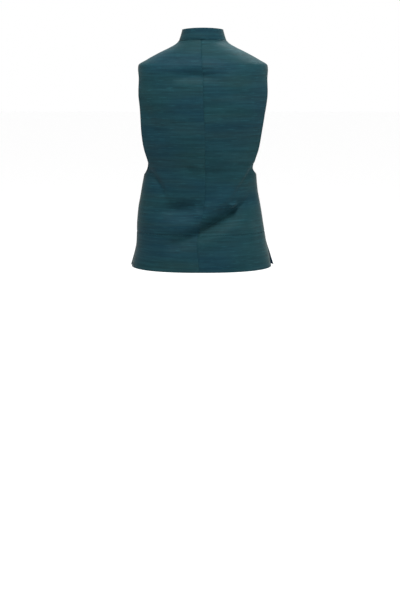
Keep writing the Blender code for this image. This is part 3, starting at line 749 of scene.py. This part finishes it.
def button_blank():
    """One button at the origin, facing +Z: a lathe profile spun round, then drilled."""
    profile = [
        (0.0, 0.0), (0.0062, 0.0), (0.0072, 0.0006), (0.0075, 0.0016), (0.0073, 0.0028), (0.0066, 0.0035),
        (0.0058, 0.0035), (0.0050, 0.0028), (0.0034, 0.0023), (0.0, 0.0022),
    ]
    bm = bmesh.new()
    verts = [bm.verts.new((r, 0, z)) for r, z in profile]
    edges = [bm.edges.new(pair) for pair in zip(verts, verts[1:])]
    bmesh.ops.spin(
        bm, geom=verts + edges, cent=(0, 0, 0), axis=(0, 0, 1), angle=2 * math.pi, steps=BUTTON_SIDES,
        use_merge=True,
    )
    bmesh.ops.remove_doubles(bm, verts=bm.verts[:], dist=1e-6)
    bmesh.ops.recalc_face_normals(bm, faces=bm.faces[:])
    mesh = bpy.data.meshes.new("button blank")
    bm.to_mesh(mesh)
    bm.free()
    blank = bpy.data.objects.new("button blank", mesh)
    drills = bmesh.new()
    for x in (-HOLE_OFFSET, HOLE_OFFSET):
        for y in (-HOLE_OFFSET, HOLE_OFFSET):
            place = Matrix.Translation((x, y, BUTTON_THICKNESS / 2))
            bmesh.ops.create_cone(
                drills, cap_ends=True, segments=HOLE_SIDES, radius1=HOLE_RADIUS, radius2=HOLE_RADIUS,
                depth=BUTTON_THICKNESS * 2, matrix=place,
            )
    drill_mesh = bpy.data.meshes.new("drills")
    drills.to_mesh(drill_mesh)
    drills.free()
    drill = bpy.data.objects.new("drills", drill_mesh)
    for thing in (blank, drill):
        bpy.context.scene.collection.objects.link(thing)
    cut = blank.modifiers.new("holes", "BOOLEAN")
    cut.operation, cut.object = "DIFFERENCE", drill
    bpy.context.view_layer.update()
    drilled = bpy.data.meshes.new_from_object(blank.evaluated_get(bpy.context.evaluated_depsgraph_get()))
    for thing in (blank, drill):
        bpy.data.objects.remove(thing)
    return drilled


def front_spot(height, x=0.0):
    """The place on the left front's outside at this height and this far to the left, and the way out."""
    levels = np.linspace(HEM, SHOULDER_TIP, FRONT_LEVELS)
    angles = math.pi - angle_at_width(levels, x - SECTION["sway"](levels))
    points, ways = surface("front", 1, levels, angles)
    k = int(np.argmin(np.abs(points[:, 2] - height)))
    return Vector(points[k]), Vector(ways[k])


def work_buttonhole(number, height):
    """A buttonhole worked round a level slit: a close row of purl stitches along both lips and both ends."""
    reach = np.linspace(SLIT_START, SLIT_START + SLIT_LENGTH, SLIT_SPOTS)
    spots = [front_spot(height, float(x)) for x in reach]
    off_cloth = spots[SLIT_SPOTS // 2][1] * SLIT_STAND
    bm = bmesh.new()
    for turn in np.arange(SLIT_STITCHES) * 2 * math.pi / SLIT_STITCHES:
        out = Vector((math.cos(turn), math.sin(turn)))
        share = max(-1.0, min(1.0, SLIT_LIPS * out.x))
        middle = SLIT_START + SLIT_LENGTH / 2 * (1 + share)
        ends = []
        for far in (SLIT_NEAR, SLIT_FAR):
            x = middle + out.x * far
            base = [float(np.interp(x, reach, [spot[axis] for spot, _ in spots])) for axis in range(3)]
            ends.append(Vector(base) + Vector((0.0, 0.0, out.y * far)) + off_cloth)
        thread_run(bm, ends[0], ends[1], SLIT_STITCH_RADIUS)
    finish_thread(bm, f"buttonhole_{number}")


def sew_button(number, blank):
    """Seats one button with its cross of thread and its worked buttonhole."""
    low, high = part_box(f"button_{number}")
    centre = (low + high) / 2
    spot, way = front_spot(centre.z)
    seat = Matrix.Translation(spot + way * BUTTON_STAND) @ way.to_track_quat("Z", "Y").to_matrix().to_4x4()
    bm = bmesh.new()
    bm.from_mesh(blank)
    for face in bm.faces:
        face.smooth = True
    bmesh.ops.transform(bm, matrix=seat, verts=bm.verts)
    button = finish_piece(bm, f"horn_button_{number}", [horn_material], 0, f"button_{number}")
    button.data.set_sharp_from_angle(angle=RIM_ANGLE)
    bm = bmesh.new()
    for side in (-1, 1):
        for nudge in (-CROSS_SPREAD, CROSS_SPREAD):
            start = (-HOLE_OFFSET + nudge, side * HOLE_OFFSET, CROSS_TOP)
            end = (HOLE_OFFSET + nudge, -side * HOLE_OFFSET, CROSS_TOP)
            thread_run(bm, start, end, CROSS_RADIUS, CROSS_ARCH)
    bmesh.ops.transform(bm, matrix=seat, verts=bm.verts)
    finish_thread(bm, f"button_thread_{number}")
    work_buttonhole(number, centre.z)


blank = button_blank()
for number in range(1, 6):
    sew_button(number, blank)
bpy.data.meshes.remove(blank)


# The stage. A plain pale floor lies well below the jacket, in an even bright surround. There are three soft
# lights: two overhead, behind and before the jacket, and one at its side.
FLOOR_HEIGHT, FLOOR_REACH = -1.53, 30
floor_mesh = bpy.data.meshes.new("floor")
bm = bmesh.new()
floor_place = Matrix.Translation((0, 0, FLOOR_HEIGHT))
bmesh.ops.create_grid(bm, x_segments=1, y_segments=1, size=FLOOR_REACH, matrix=floor_place)
bm.to_mesh(floor_mesh)
bm.free()
floor = bpy.data.objects.new("studio_floor", floor_mesh)
bpy.context.scene.collection.objects.link(floor)
paint, paint_shader = new_material("pale studio floor")
paint_shader.inputs["Base Color"].default_value = linear("#fcfcfc")
paint_shader.inputs["Emission Color"].default_value = (1, 1, 1, 1)
paint_shader.inputs["Emission Strength"].default_value = 0.1  # lifts the floor to the white of the surround
paint_shader.inputs["Roughness"].default_value = 0.9
floor_mesh.materials.append(paint)

world = bpy.data.worlds.new("studio")
bpy.context.scene.world = world
world.use_nodes = True
sky = world.node_tree.nodes["Background"]
sky.inputs["Color"].default_value = (1, 1, 1, 1)
looking = add_node(world, "ShaderNodeTexCoord").outputs["Generated"]
upwards = add_node(world, "ShaderNodeSeparateXYZ", i0=looking).outputs["Z"]
# The surround is a little dimmer high up, so that folds keep their shade.
bright = add_node(
    world, "ShaderNodeMapRange", Value=upwards, From_Min=0.15, From_Max=0.95, To_Min=1.0, To_Max=0.85
)
world.node_tree.links.new(bright.outputs[0], sky.inputs["Strength"])


def soft_light(name, place, aim, size, power_w):
    """A square soft light at a place, aimed at another."""
    lamp = bpy.data.lights.new(name, "AREA")
    lamp.energy, lamp.size = power_w, size
    holder = bpy.data.objects.new(name, lamp)
    holder.location = place
    holder.rotation_euler = (Vector(aim) - Vector(place)).to_track_quat("-Z", "Y").to_euler()
    bpy.context.scene.collection.objects.link(holder)


soft_light("overhead", place=(0.1, 1.15, 2.0), aim=(0, 0.05, -0.3), size=1.0, power_w=150)
soft_light("front overhead", place=(-0.6, -1.25, 2.0), aim=(0, -0.05, -0.3), size=1.0, power_w=130)
soft_light("side", place=(-2.8, 0.7, 0.3), aim=(-0.1, 0, -0.35), size=1.5, power_w=42)
bpy.context.scene.view_settings.view_transform = "Standard"

# The camera stands behind the jacket, level with its neck, and looks a little down.
CAMERA_AWAY = 3.5
CAMERA_HEIGHT = -0.04
CAMERA_DOWN = math.radians(11.5)
SENSOR_MM = 36
SEEN_HALF_HEIGHT = 0.879  # half of what the frame takes in, in metres, at the jacket
FRAME_HALF_WIDTH_PX, FRAME_HALF_HEIGHT_PX = 200, 300
JACKET_PIXEL_X = 202  # where the jacket's middle stands across the frame
half_slope = SEEN_HALF_HEIGHT / CAMERA_AWAY
lens = bpy.data.cameras.new("camera")
lens.sensor_width = SENSOR_MM
lens.lens = SENSOR_MM / 2 / half_slope
camera = bpy.data.objects.new("camera", lens)
camera_x = (JACKET_PIXEL_X - FRAME_HALF_WIDTH_PX) / FRAME_HALF_HEIGHT_PX * SEEN_HALF_HEIGHT
camera.location = (camera_x, CAMERA_AWAY, CAMERA_HEIGHT)
camera.rotation_euler = (math.pi / 2 - CAMERA_DOWN, 0, math.pi)
bpy.context.scene.collection.objects.link(camera)
bpy.context.scene.camera = camera
